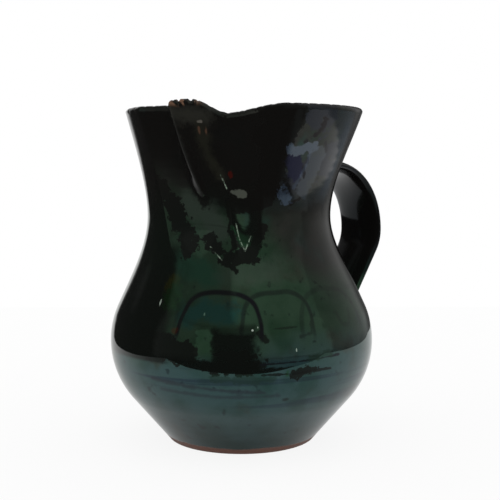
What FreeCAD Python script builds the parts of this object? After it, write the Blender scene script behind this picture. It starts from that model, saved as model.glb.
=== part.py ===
import FreeCAD, Part
import Sketcher
import math
import os
from FreeCAD import Vector

# A hand-thrown earthenware jug: a round-bellied pot, a flared neck pinched into a pouring lip,
# and a pulled strap handle. Lengths are millimetres and angles degrees. The jug stands on z = 0
# with its throwing axis on Z, and its lip points along -Y. Angles round the neck are counted
# from the lip, positive towards +X.

SIZES = {
    # Thrown pot, from the foot to the ring where the neck begins
    "foot_radius": 45.8,
    "foot_round": 2.5,
    "belly_radius": 85.3,
    "belly_height": 65.0,
    "belly_curve": 55.0,
    "shoulder_lean": 25.0,
    "shoulder_rise": 11.256,
    "wall": 4.6,
    "floor": 7.0,
    "floor_corner": 16.0,
    # Thrown neck before it is pinched; the shifts say how far it leans off the axis
    "waist_radius": 59.3,
    "waist_height": 145.5,
    "waist_shift": -1.6,
    "rim_radius": 77.5,
    "rim_height": 213.5,
    "rim_slope": 0.32,
    "rim_shift": 1.0,
    "shift_turn": 25.0,
    # Two folds meet low on the neck; the wall between them is pressed flat, and part way up it
    # swells out into the pouring lip
    "fold_foot": 117.0,
    "right_fold_foot": 28.0,
    "right_fold_middle": 8.0,
    "right_fold_top": 15.5,
    "left_fold_foot": -13.0,
    "left_fold_top": -38.0,
    "lip_reach": 16.0,
    "lip_foot": 1.0,
    "lip_crest": -9.0,
    "lip_left": -20.0,
    "lip_half_angle": 15.5,
    "lip_rise": 2.5,
    "lip_peak_angle": 0.0,
    # Thumb presses along both folds: shallow at the foot of the folds, deep at the rim
    "fold_depth": 5.0,
    "left_fold_depth": 0.6,
    "fold_angle": 14.0,
    "press_depth": 11.0,
    "press_angle": 36.0,
    "left_press_depth": 4.4,
    "left_press_angle": 40.0,
    "notch_drop": 5.5,
    "notch_angle": 30.0,
    # Strap handle, which lies in one upright plane through the axis
    "handle_turn": 159.5,
    "strap_width": 36.5,
    "strap_thickness": 9.2,
    "bow_centre": 77.4,
    "bow_height": 131.2,
    "bow_radius": 46.0,
    "elbow_radius": 24.0,
    "tail_lean": 36.0,
    "root_width": 42.0,
    "root_length": 28.0,
    "root_swell": 3.4,
}

doc = FreeCAD.newDocument("Jug")
sheet = doc.addObject("Spreadsheet::Sheet", "Sizes")
for row, (name, value) in enumerate(SIZES.items(), start=1):
    sheet.set(f"A{row}", name)
    sheet.set(f"B{row}", str(value))
    sheet.setAlias(f"B{row}", name)
doc.recompute()


def size(name):
    """The value of one size in the sheet."""
    return float(getattr(sheet, name))


# Pot: half a profile, foot to shoulder outside and back down inside, turned about Z
START, END, CENTRE = range(1, 4)
AXIS_POINT, UPRIGHT_AXIS = range(-1, -3, -1)

pot_body = doc.addObject("PartDesign::Body", "Pot")
pot_body.Label = "thrown_pot"
profile = pot_body.newObject("Sketcher::SketchObject", "PotProfile")
upright_plane = next(item for item in pot_body.Origin.OriginFeatures if item.Role == "XZ_Plane")
profile.AttachmentSupport = [(upright_plane, "")]
profile.MapMode = "FlatFace"


def line(sketch, first, last):
    """Draw a line between two (radius, height) points."""
    return sketch.addGeometry(Part.LineSegment(Vector(*first, 0), Vector(*last, 0)), False)


def arc(sketch, centre, radius, first, last):
    """Draw an arc, anticlockwise from angle first to angle last."""
    circle = Part.Circle(Vector(*centre, 0), Vector(0, 0, 1), radius)
    return sketch.addGeometry(Part.ArcOfCircle(circle, math.radians(first), math.radians(last)), False)


def fix(sketch, kind, *places):
    """Add a constraint, such as a tangency or a fixed distance."""
    return sketch.addConstraint(Sketcher.Constraint(kind, *places))


def measure(sketch, formula, kind, *places):
    """Add a constraint whose value is worked out from the sheet."""
    number = fix(sketch, kind, *places)
    sketch.setExpression(f"Constraints[{number}]", formula)


def on_circle(centre, radius, angle):
    """Point of a circle at this angle in degrees."""
    turn = math.radians(angle)
    return centre[0] + radius * math.cos(turn), centre[1] + radius * math.sin(turn)


lean = math.radians(size("shoulder_lean"))
toe_centre = (size("foot_radius"), size("foot_round"))
belly_centre = (size("belly_radius") - size("belly_curve"), size("belly_height"))
inner_curve = size("belly_curve") - size("wall")
shoulder_top = on_circle(belly_centre, size("belly_curve"), size("shoulder_lean"))
inner_shoulder_top = on_circle(belly_centre, inner_curve, size("shoulder_lean"))
joint_height = shoulder_top[1] + size("shoulder_rise")
joint_radius = shoulder_top[0] - size("shoulder_rise") * math.tan(lean)
joint_wall = size("wall") / math.cos(lean)
joint_outside = (joint_radius, joint_height)
joint_inside = (joint_radius - joint_wall, joint_height)

# The straight side touches the toe and the belly, so both circles meet it at the same angle
across = belly_centre[0] - toe_centre[0]
above = belly_centre[1] - toe_centre[1]
closeness = (size("foot_round") - size("belly_curve")) / math.hypot(across, above)
side_angle = math.degrees(math.atan2(above, across) - math.acos(closeness))
corner_height = size("floor") + size("floor_corner")
corner_offset = inner_curve - size("floor_corner")
corner_offset -= (corner_height - belly_centre[1]) * math.sin(math.radians(side_angle))
corner_centre = (belly_centre[0] + corner_offset / math.cos(math.radians(side_angle)), corner_height)

sole = line(profile, (0, 0), (size("foot_radius"), 0))
toe = arc(profile, toe_centre, size("foot_round"), -90, side_angle)
side = line(
    profile,
    on_circle(toe_centre, size("foot_round"), side_angle),
    on_circle(belly_centre, size("belly_curve"), side_angle),
)
belly = arc(profile, belly_centre, size("belly_curve"), side_angle, size("shoulder_lean"))
shoulder = line(profile, shoulder_top, joint_outside)
ring = line(profile, joint_outside, joint_inside)
inner_shoulder = line(profile, joint_inside, inner_shoulder_top)
inner_belly = arc(profile, belly_centre, inner_curve, side_angle, size("shoulder_lean"))
inner_side = line(
    profile,
    on_circle(belly_centre, inner_curve, side_angle),
    on_circle(corner_centre, size("floor_corner"), side_angle),
)
corner = arc(profile, corner_centre, size("floor_corner"), -90, side_angle)
inside_floor = line(profile, (corner_centre[0], size("floor")), (0, size("floor")))
axis = line(profile, (0, size("floor")), (0, 0))

fix(profile, "Coincident", sole, START, AXIS_POINT, 1)
fix(profile, "Horizontal", sole)
measure(profile, "Sizes.foot_radius", "DistanceX", sole, START, sole, END, size("foot_radius"))
fix(profile, "Tangent", sole, END, toe, START)
measure(profile, "Sizes.foot_round", "Radius", toe, size("foot_round"))
fix(profile, "Tangent", toe, END, side, START)
fix(profile, "Tangent", side, END, belly, START)
belly_place = (AXIS_POINT, 1, belly, CENTRE)
measure(profile, "Sizes.belly_radius - Sizes.belly_curve", "DistanceX", *belly_place, belly_centre[0])
measure(profile, "Sizes.belly_height", "DistanceY", *belly_place, belly_centre[1])
measure(profile, "Sizes.belly_curve", "Radius", belly, size("belly_curve"))
fix(profile, "Tangent", belly, END, shoulder, START)
measure(profile, "(90 + Sizes.shoulder_lean) * 1 deg", "Angle", shoulder, math.pi / 2 + lean)
fix(profile, "Coincident", shoulder, END, ring, START)
fix(profile, "Horizontal", ring)
shoulder_ends = (shoulder, START, shoulder, END)
measure(profile, "Sizes.shoulder_rise", "DistanceY", *shoulder_ends, size("shoulder_rise"))
fix(profile, "Coincident", ring, END, inner_shoulder, START)
fix(profile, "Parallel", shoulder, inner_shoulder)
fix(profile, "Tangent", inner_shoulder, END, inner_belly, END)
fix(profile, "Coincident", inner_belly, CENTRE, belly, CENTRE)
measure(profile, "Sizes.belly_curve - Sizes.wall", "Radius", inner_belly, inner_curve)
fix(profile, "Tangent", inner_belly, START, inner_side, START)
fix(profile, "Parallel", side, inner_side)
fix(profile, "Tangent", inner_side, END, corner, END)
measure(profile, "Sizes.floor_corner", "Radius", corner, size("floor_corner"))
fix(profile, "Tangent", corner, START, inside_floor, START)
fix(profile, "Horizontal", inside_floor)
fix(profile, "PointOnObject", inside_floor, END, UPRIGHT_AXIS)
measure(profile, "Sizes.floor", "DistanceY", AXIS_POINT, 1, inside_floor, END, size("floor"))
fix(profile, "Coincident", inside_floor, END, axis, START)
fix(profile, "Coincident", axis, END, sole, START)

turned_pot = pot_body.newObject("PartDesign::Revolution", "TurnedPot")
turned_pot.Profile = profile
turned_pot.ReferenceAxis = (profile, ["V_Axis"])
turned_pot.Angle = 360
doc.recompute()


# Neck: closed sections that climb the outside, roll over the rim and go back down the inside
SEAM_ANGLE = -100
PINCH_START, PINCH_END = -50, 60
FINE_STEP, COARSE_STEP = 2, 6
SIDE_STEPS = 14
RIM_ROLLS = (36, 72, 108, 144)
PROBE = 0.4


def ease(share):
    """A smooth step from 0 at share 0 to 1 at share 1."""
    share = min(max(share, 0.0), 1.0)
    return share * share * (3 - 2 * share)


def curve(share, first, first_slope, last, last_slope):
    """A cubic from first to last with these end slopes, at this share of the way."""
    rest = 1 - share
    return (
        first * rest * rest * (1 + 2 * share)
        + first_slope * share * rest * rest
        + last * share * share * (3 - 2 * share)
        - last_slope * share * share * rest
    )


def along_neck(height, at_joint, joint_slope, at_waist, at_rim, rim_slope):
    """A value that runs smoothly from the joint through the waist to the rim."""
    lower = size("waist_height") - joint_height
    upper = size("rim_height") - size("waist_height")
    if height < size("waist_height"):
        share = (height - joint_height) / lower
        return curve(share, at_joint, joint_slope * lower, at_waist, 0)
    share = (height - size("waist_height")) / upper
    return curve(share, at_waist, 0, at_rim, rim_slope * upper)


def thrown_radius(height):
    """Outer radius of the neck as thrown."""
    return along_neck(
        height, joint_radius, -math.tan(lean), size("waist_radius"), size("rim_radius"), size("rim_slope")
    )


# How the presses and the lip grow with the way up from the foot of the folds, as powers of it
PRESS_GROWTH = 1.8
LEFT_PRESS_GROWTH = 1.6
LIP_SPREAD = 0.3
CREST_TURN = 3
FLANK_ROUNDNESS = 1.3
# Shares of the way up within which the folds deepen, and where the lip begins
FOLD_START = 0.3
LIP_START = 0.42


def round_from(front, angle):
    """The same angle, written as at most half a turn either way from the front."""
    return front + math.remainder(angle - front, math.degrees(math.tau))


def fold_angles(up):
    """Angles of the left fold and of the right fold, this share of the way up."""
    down = max(1 - up, 0.0)
    left = size("left_fold_top") + (size("left_fold_foot") - size("left_fold_top")) * down**2
    middle, foot = size("right_fold_middle"), size("right_fold_foot")
    return left, middle + (size("right_fold_top") - middle) * up**2 + (foot - middle) * down**1.5


def flat_radius(angle, fold, radius, other_fold, other_radius):
    """Radius of the straight wall between a point on each fold."""
    to_fold = radius * math.sin(math.radians(angle - fold))
    to_other = other_radius * math.sin(math.radians(other_fold - angle))
    return radius * other_radius * math.sin(math.radians(other_fold - fold)) / (to_fold + to_other)


def lip_swell(angle, up, right_fold):
    """How far the lip stands out from the flat wall."""
    grown = (up - LIP_START) / (1 - LIP_START)
    if grown <= 0:
        return 0.0
    spread = min(grown, 1.0) ** LIP_SPREAD
    foot, top = size("lip_foot"), size("lip_crest")
    crest = top + (foot - top) * max(1 - grown, 0.0) ** CREST_TURN
    left_share = min(max((crest - angle) / ((top - size("lip_left")) * spread), 0.0), 1.0)
    right_share = min(max((angle - crest) / ((right_fold - crest) * spread), 0.0), 1.0)
    return size("lip_reach") * grown * (1 - left_share**FLANK_ROUNDNESS - right_share**FLANK_ROUNDNESS)


def pinched_radius(angle, height):
    """Outer radius of the neck with the lip drawn out and the thumb presses beside it."""
    up = max((height - size("fold_foot")) / (size("rim_height") - size("fold_foot")), 0.0)
    left_fold, right_fold = fold_angles(up)
    angle = round_from(size("lip_crest"), angle)
    begin = ease(up / FOLD_START)
    fading = begin * max(1 - up, 0.0)
    thrown = thrown_radius(height)
    right = size("press_depth") * up**PRESS_GROWTH + size("fold_depth") * fading
    left = size("left_press_depth") * up**LEFT_PRESS_GROWTH + size("left_fold_depth") * fading
    if angle > right_fold:
        reach = size("fold_angle") + (size("press_angle") - size("fold_angle")) * up
        radius = thrown - right * (1 - ease((angle - right_fold) / reach))
    elif angle < left_fold:
        reach = size("fold_angle") + (size("left_press_angle") - size("fold_angle")) * up
        radius = thrown - left * (1 - ease((left_fold - angle) / reach))
    else:
        flat = flat_radius(angle, left_fold, thrown - left, right_fold, thrown - right)
        radius = thrown + (flat - thrown) * begin
    return radius + lip_swell(angle, up, right_fold)


def rim_line(angle):
    """Height of the top of the rim: raised at the lip, lower where the thumb pressed."""
    off = round_from(0, angle)
    half = size("lip_half_angle")
    rise = size("lip_rise") * max(1 - ((off - size("lip_peak_angle")) / half) ** 2, 0)
    if off > half:
        drop = 1 - ease((off - half) / size("notch_angle"))
    else:
        drop = ease(off / half)
    return size("rim_height") + rise - size("notch_drop") * drop


def neck_point(angle, height):
    """Point on the outside of the neck."""
    turn = math.radians(angle)
    lean_turn = math.radians(size("shift_turn"))
    shift = along_neck(height, 0, 0, size("waist_shift"), size("rim_shift"), 0)
    radius = pinched_radius(angle, height)
    return Vector(
        radius * math.sin(turn) + shift * math.cos(lean_turn),
        -radius * math.cos(turn) + shift * math.sin(lean_turn),
        height,
    )


def wall_vector(angle, height):
    """Level vector from the inside of the wall to the outside that keeps the wall's thickness."""
    around = neck_point(angle + PROBE, height) - neck_point(angle - PROBE, height)
    upward = neck_point(angle, height + PROBE) - neck_point(angle, height - PROBE)
    normal = around.cross(upward).normalize()
    level = Vector(normal.x, normal.y, 0)
    return level * (size("wall") / level.Length**2)


def side_section(angles, share, outside):
    """Section of the outside or the inside, at this share of the way from joint to rim."""
    points = []
    for angle in angles:
        top = rim_line(angle) - size("wall") / 2
        height = joint_height + share * (top - joint_height)
        point = neck_point(angle, height)
        if not outside:
            point = point - wall_vector(angle, height)
        points.append(point)
    return points


def rim_section(angles, roll):
    """Section on the rounded rim, which rolls from the outside at 0 to the inside at 180."""
    points = []
    for angle in angles:
        top = rim_line(angle) - size("wall") / 2
        across = wall_vector(angle, top)
        lift = Vector(0, 0, math.sin(math.radians(roll)) * size("wall") / 2)
        level = across * ((math.cos(math.radians(roll)) - 1) / 2)
        points.append(neck_point(angle, top) + level + lift)
    return points


def section_angles():
    """Angles round the neck from its far left, close together on the lip and beside it."""
    angles = [SEAM_ANGLE]
    while True:
        step = FINE_STEP if PINCH_START < angles[-1] < PINCH_END else COARSE_STEP
        if angles[-1] + step > SEAM_ANGLE + 360 - FINE_STEP:
            return angles
        angles.append(angles[-1] + step)


def section_spline(points, angles):
    """Closed smooth curve through the points of one section."""
    knots = [angle / 360 for angle in angles] + [angles[0] / 360 + 1]
    spline = Part.BSplineCurve()
    spline.interpolate(Points=points, PeriodicFlag=True, Parameters=knots)
    return spline


def skin_over(sections, angles):
    """Smooth surface that passes through closed sections in their order."""
    splines = [section_spline(points, angles) for points in sections]
    columns = list(zip(*(spline.getPoles() for spline in splines)))
    travel = [0.0]
    for first, last in zip(sections, sections[1:]):
        gaps = [a.distanceToPoint(b) for a, b in zip(first, last)]
        travel.append(travel[-1] + sum(gaps) / len(gaps))
    rows = []
    for column in columns:
        ribbon = Part.BSplineCurve()
        ribbon.interpolate(Points=list(column), Parameters=travel)
        rows.append(ribbon.getPoles())
    surface = Part.BSplineSurface()
    surface.buildFromPolesMultsKnots(
        rows,
        splines[0].getMultiplicities(),
        ribbon.getMultiplicities(),
        splines[0].getKnots(),
        ribbon.getKnots(),
        True,
        False,
        splines[0].Degree,
        ribbon.Degree,
    )
    return surface


def split_faces(surface, seams):
    """Faces of the surface, quartered round the neck and cut along the seams."""
    around, _, _, _ = surface.bounds()
    faces = []
    for quarter in range(4):
        for low, high in zip(seams, seams[1:]):
            patch = surface.copy()
            patch.segment(around + quarter / 4, around + (quarter + 1) / 4, low, high)
            faces.append(patch.toShape())
    return faces


def is_at_joint(edge):
    """Whether an edge lies in the level ring where the neck stands on the pot."""
    return edge.BoundBox.ZMax < joint_height + size("wall") / 100


shares = [step / SIDE_STEPS for step in range(SIDE_STEPS + 1)]
around_neck = section_angles()
sections = [side_section(around_neck, share, True) for share in shares]
sections += [rim_section(around_neck, roll) for roll in RIM_ROLLS]
sections += [side_section(around_neck, share, False) for share in reversed(shares)]
neck_skin = skin_over(sections, around_neck)
rows = neck_skin.getVKnots()
neck_faces = split_faces(neck_skin, [rows[0], rows[SIDE_STEPS], rows[-1 - SIDE_STEPS], rows[-1]])
bottom_edges = [edge for face in neck_faces for edge in face.Edges if is_at_joint(edge)]
bottom_edges.sort(key=lambda edge: edge.BoundBox.DiagonalLength)
quarters = len(bottom_edges) // 2
bottom_rings = [
    Part.Wire(Part.__sortEdges__(bottom_edges[quarters:])),
    Part.Wire(Part.__sortEdges__(bottom_edges[:quarters])),
]
bottom = Part.makeFace(bottom_rings, "Part::FaceMakerBullseye")
neck_shell = Part.makeShell(neck_faces + [bottom])
neck_shell.sewShape()
neck = doc.addObject("Part::Feature", "Neck")
neck.Label = "pinched_neck"
neck.Shape = Part.makeSolid(neck_shell)


def outer_radius(height):
    """Outer radius of the thrown jug, above the straight foot of its side."""
    if height > joint_height:
        return thrown_radius(height)
    if height > shoulder_top[1]:
        return shoulder_top[0] - (height - shoulder_top[1]) * math.tan(lean)
    return belly_centre[0] + math.sqrt(size("belly_curve") ** 2 - (height - belly_centre[1]) ** 2)


# Handle: a strap swept along a bow, an elbow and a straight tail, with a smeared root at each end
def bow_point(dip):
    """Reach and height of the strap's centre on the bow, where it dips by this angle."""
    turn = math.radians(dip)
    reach = size("bow_centre") + size("bow_radius") * math.sin(turn)
    return reach, size("bow_height") + size("bow_radius") * math.cos(turn)


def tail_point(length):
    """Reach and height of the strap's centre this far down the tail."""
    slant = math.radians(size("tail_lean"))
    elbow_centre = size("bow_centre") + size("bow_radius") - size("elbow_radius")
    reach = elbow_centre + size("elbow_radius") * math.cos(slant) - length * math.sin(slant)
    return reach, size("bow_height") - size("elbow_radius") * math.sin(slant) - length * math.cos(slant)


def wall_crossing(path, outside, inside):
    """Where a path, outside the jug at its first value, meets the middle of the wall."""
    for _ in range(40):
        middle = (outside + inside) / 2
        reach, height = path(middle)
        if reach > outer_radius(height) - size("wall") / 2:
            outside = middle
        else:
            inside = middle
    return path(outside)


DIP_INSIDE = -60
upper_root = wall_crossing(bow_point, 0, DIP_INSIDE)
lower_root = wall_crossing(tail_point, 0, 2 * size("bow_radius"))

strap_path = doc.addObject("Sketcher::SketchObject", "StrapPath")
strap_path.setExpression(
    "Placement",
    "create(<<placement>>; create(<<vector>>; 0; 0; 0);"
    " create(<<rotation>>; Sizes.handle_turn - 90; 0; 90))",
)
bow_middle = (size("bow_centre"), size("bow_height"))
elbow_middle = (bow_middle[0] + size("bow_radius") - size("elbow_radius"), bow_middle[1])
bow_end = math.degrees(math.acos((upper_root[0] - size("wall") - bow_middle[0]) / size("bow_radius")))
bow = arc(strap_path, bow_middle, size("bow_radius"), 0, bow_end)
elbow = arc(strap_path, elbow_middle, size("elbow_radius"), -size("tail_lean"), 0)
tail = line(strap_path, tail_point(0), lower_root)
measure(strap_path, "Sizes.bow_centre", "DistanceX", AXIS_POINT, 1, bow, CENTRE, bow_middle[0])
measure(strap_path, "Sizes.bow_height", "DistanceY", AXIS_POINT, 1, bow, CENTRE, bow_middle[1])
measure(strap_path, "Sizes.bow_radius", "Radius", bow, size("bow_radius"))
measure(strap_path, "Sizes.elbow_radius", "Radius", elbow, size("elbow_radius"))
fix(strap_path, "Tangent", bow, START, elbow, END)
fix(strap_path, "Horizontal", bow, CENTRE, elbow, CENTRE)
fix(strap_path, "Tangent", elbow, START, tail, START)
tail_way = math.radians(270 - size("tail_lean"))
measure(strap_path, "(270 - Sizes.tail_lean) * 1 deg", "Angle", tail, tail_way)
fix(strap_path, "DistanceX", AXIS_POINT, 1, bow, END, upper_root[0] - size("wall"))
fix(strap_path, "DistanceY", AXIS_POINT, 1, tail, END, lower_root[1] - size("wall"))
doc.recompute()

# The strap's oval section stands at the outermost point of the bow, level and square to the path
oval = doc.addObject("Part::Ellipse", "StrapOval")
oval.setExpression("MajorRadius", "Sizes.strap_width / 2")
oval.setExpression("MinorRadius", "Sizes.strap_thickness / 2")
oval.setExpression(
    "Placement",
    "create(<<placement>>; create(<<vector>>;"
    " (Sizes.bow_centre + Sizes.bow_radius) * sin(Sizes.handle_turn * 1 deg);"
    " -(Sizes.bow_centre + Sizes.bow_radius) * cos(Sizes.handle_turn * 1 deg);"
    " Sizes.bow_height); create(<<rotation>>; Sizes.handle_turn; 0; 0))",
)
strap = doc.addObject("Part::Sweep", "Strap")
strap.Sections = [oval]
strap.Spine = (strap_path, ["Edge1", "Edge2", "Edge3"])
strap.Solid = True


def root_lump(name, root, slope):
    """Clay smeared round one root of the strap, lying along the wall, which leans by this slope."""
    lump = doc.addObject("Part::Ellipsoid", name)
    lump.setExpression("Radius1", "Sizes.root_length / 2")
    lump.setExpression("Radius2", "Sizes.root_swell + Sizes.wall / 2")
    lump.setExpression("Radius3", "Sizes.root_width / 2")
    turn = math.radians(size("handle_turn") - 90)
    spot = Vector(root[0] * math.cos(turn), root[0] * math.sin(turn), root[1])
    lump.Placement = FreeCAD.Placement(spot, FreeCAD.Rotation(math.degrees(turn), slope, 0))
    return lump


def wall_slope(height):
    """Angle by which the wall leans outward, going up, at this height."""
    return math.degrees(math.atan((outer_radius(height + 1) - outer_radius(height - 1)) / 2))


lumps = [
    root_lump("UpperRoot", upper_root, wall_slope(upper_root[1])),
    root_lump("LowerRoot", lower_root, wall_slope(lower_root[1])),
]
whole_handle = doc.addObject("Part::MultiFuse", "StrapAndRoots")
whole_handle.Shapes = [strap] + lumps
doc.recompute()

# The middle of the wall, turned solid, trims the handle so that its roots end inside the wall
core_low = size("belly_height") - size("belly_curve") / 2
core_steps = 16
core_rise = (size("rim_height") - core_low) / core_steps
core_heights = [core_low + core_rise * step for step in range(core_steps + 1)]
core_points = [Vector(outer_radius(height) - size("wall") / 2, 0, height) for height in core_heights]
core_line = Part.BSplineCurve()
core_line.interpolate(core_points)
core_back = Part.makePolygon(
    [core_points[-1], Vector(0, 0, core_heights[-1]), Vector(0, 0, core_low), core_points[0]]
)
core_face = Part.Face(Part.Wire([core_line.toShape()] + core_back.Edges))
core = doc.addObject("Part::Feature", "WallCore")
core.Label = "middle_of_the_wall"
core.Shape = core_face.revolve(Vector(0, 0, 0), Vector(0, 0, 1), 360)
handle = doc.addObject("Part::Cut", "Handle")
handle.Label = "strap_handle"
handle.Base = whole_handle
handle.Tool = core

# Jug: pot, neck and handle fired as one piece
jug = doc.addObject("Part::MultiFuse", "Jug")
jug.Label = "jug"
jug.Shapes = [pot_body, neck, handle]
doc.recompute()

for item in doc.Objects:
    if "Invalid" in item.State or "Error" in item.State:
        raise RuntimeError(f"{item.Name} failed")
for item in (pot_body, neck, handle):
    if item.Shape.isNull() or not item.Shape.isValid():
        raise RuntimeError(f"the shape of {item.Label} is not sound")
if jug.Shape.isNull() or not jug.Shape.isValid() or len(jug.Shape.Solids) != 1:
    raise RuntimeError("the jug is not one sound solid")
os.makedirs("parts", exist_ok=True)
jug.Shape.exportStep("parts/jug.step")
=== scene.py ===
import bpy
import math
import numpy as np
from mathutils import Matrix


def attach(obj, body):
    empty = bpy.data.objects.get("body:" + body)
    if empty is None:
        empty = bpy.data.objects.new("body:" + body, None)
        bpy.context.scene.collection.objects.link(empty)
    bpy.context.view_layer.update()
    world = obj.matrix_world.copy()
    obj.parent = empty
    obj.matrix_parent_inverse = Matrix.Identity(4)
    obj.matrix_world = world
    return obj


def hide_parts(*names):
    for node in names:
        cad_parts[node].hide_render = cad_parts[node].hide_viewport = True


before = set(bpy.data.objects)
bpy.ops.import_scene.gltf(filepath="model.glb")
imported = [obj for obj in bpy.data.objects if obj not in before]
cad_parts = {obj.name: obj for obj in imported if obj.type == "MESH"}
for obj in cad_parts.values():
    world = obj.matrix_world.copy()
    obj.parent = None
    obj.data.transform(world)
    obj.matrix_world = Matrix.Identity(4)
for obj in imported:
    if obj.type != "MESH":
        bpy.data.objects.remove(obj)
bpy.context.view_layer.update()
scene = bpy.context.scene

# A hand-thrown earthenware jug under a dark green lead glaze, standing on a pale table. Lengths
# are metres and angles degrees. Angles round the jug are counted from its lip, towards +X.


# Camera: a plain lens about two thirds of a metre from the jug, a little below its rim and a
# third of the way round from the lip to the right-hand side.
CAMERA_TURN = 25.0
CAMERA_REACH = 0.650
CAMERA_HEIGHT = 0.177
CAMERA_LENS = 72.0
CAMERA_DIP = 4.80
CAMERA_YAW = 0.487

camera = bpy.data.objects.new("camera", bpy.data.cameras.new("camera"))
scene.collection.objects.link(camera)
camera.data.sensor_width = 36.0
camera.data.lens = CAMERA_LENS
camera.location = (
    CAMERA_REACH * math.sin(math.radians(CAMERA_TURN)),
    -CAMERA_REACH * math.cos(math.radians(CAMERA_TURN)),
    CAMERA_HEIGHT,
)
camera.rotation_euler = (math.radians(90 - CAMERA_DIP), 0, math.radians(CAMERA_TURN - CAMERA_YAW))
scene.camera = camera


# Pot and neck: red earthenware thrown in one piece on the wheel, about 4.6 mm thick. Two folds
# and two thumb presses, made while the clay was wet, draw the front of the rim out into a lip.
FOOT_RADIUS = 0.0458
FOOT_ROUND = 0.0025
BELLY_RADIUS = 0.0853
BELLY_HEIGHT = 0.0650
BELLY_CURVE = 0.0550
SHOULDER_LEAN = math.radians(25.0)
JOINT_HEIGHT = 0.0995
WALL = 0.0046
FLOOR = 0.0070
FLOOR_CORNER = 0.0160
WAIST_RADIUS = 0.0593
WAIST_HEIGHT = 0.1455
WAIST_SHIFT = -0.0016
RIM_RADIUS = 0.0775
RIM_HEIGHT = 0.2135
RIM_SLOPE = 0.32
RIM_SHIFT = 0.0010
SHIFT_TURN = math.radians(25.0)

FOLD_FOOT = 0.1170
RIGHT_FOLD_FOOT = 28.0
RIGHT_FOLD_MIDDLE = 8.0
RIGHT_FOLD_TOP = 15.5
LEFT_FOLD_FOOT = -13.0
LEFT_FOLD_TOP = -38.0
FOLD_DEPTH = 0.0050
LEFT_FOLD_DEPTH = 0.0006
FOLD_ANGLE = 14.0
FOLD_START = 0.3
PRESS_DEPTH = 0.0110
PRESS_ANGLE = 36.0
PRESS_GROWTH = 1.8
LEFT_PRESS_DEPTH = 0.0044
LEFT_PRESS_ANGLE = 40.0
LEFT_PRESS_GROWTH = 1.6
LIP_START = 0.42
LIP_REACH = 0.0160
LIP_FOOT = 1.0
LIP_CREST = -9.0
LIP_LEFT = -20.0
LIP_SPREAD = 0.3
CREST_TURN = 3
FLANK_ROUNDNESS = 1.3
LIP_HALF_ANGLE = 15.5
LIP_RISE = 0.0025
LIP_PEAK_ANGLE = 0.0
NOTCH_DROP = 0.0055
NOTCH_ANGLE = 30.0
CHIP_DEPTH = 0.0011
DENT_DEPTH = 0.00012
RING_DEPTH = 0.000010
STEP_ANGLE = 0.4
STEP = 0.0004

BELLY_X = BELLY_RADIUS - BELLY_CURVE
SHOULDER_TOP = (
    BELLY_X + BELLY_CURVE * math.cos(SHOULDER_LEAN),
    BELLY_HEIGHT + BELLY_CURVE * math.sin(SHOULDER_LEAN),
)
JOINT_RADIUS = SHOULDER_TOP[0] - (JOINT_HEIGHT - SHOULDER_TOP[1]) * math.tan(SHOULDER_LEAN)


def ease(share):
    """A smooth step from 0 at share 0 to 1 at share 1."""
    share = np.clip(share, 0.0, 1.0)
    return share * share * (3 - 2 * share)


def curve(share, first, first_slope, last, last_slope):
    """A cubic from first to last with these end slopes, at this share of the way."""
    rest = 1 - share
    rising = last * share * share * (3 - 2 * share) - last_slope * share * share * rest
    return first * rest * rest * (1 + 2 * share) + first_slope * share * rest * rest + rising


def along_neck(height, at_joint, joint_slope, at_waist, at_rim, rim_slope):
    """A value that runs smoothly from the joint through the waist to the rim."""
    lower = WAIST_HEIGHT - JOINT_HEIGHT
    upper = RIM_HEIGHT - WAIST_HEIGHT
    below = curve((height - JOINT_HEIGHT) / lower, at_joint, joint_slope * lower, at_waist, 0)
    above = curve((height - WAIST_HEIGHT) / upper, at_waist, 0, at_rim, rim_slope * upper)
    return np.where(height < WAIST_HEIGHT, below, above)


def thrown_radius(height):
    """Outer radius of the neck as thrown."""
    return along_neck(
        height, JOINT_RADIUS, -math.tan(SHOULDER_LEAN), WAIST_RADIUS, RIM_RADIUS, RIM_SLOPE
    )


def way_up(height):
    """Share of the way from the foot of the folds to the rim."""
    return np.maximum((height - FOLD_FOOT) / (RIM_HEIGHT - FOLD_FOOT), 0.0)


def fold_lines(up):
    """Angles of the left fold and of the right fold, this share of the way up."""
    down = np.maximum(1 - up, 0.0)
    left = LEFT_FOLD_TOP + (LEFT_FOLD_FOOT - LEFT_FOLD_TOP) * down**2
    right = RIGHT_FOLD_TOP * up**2 + RIGHT_FOLD_MIDDLE * (1 - up**2)
    right = right + (RIGHT_FOLD_FOOT - RIGHT_FOLD_MIDDLE) * down**1.5
    return left, right


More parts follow.
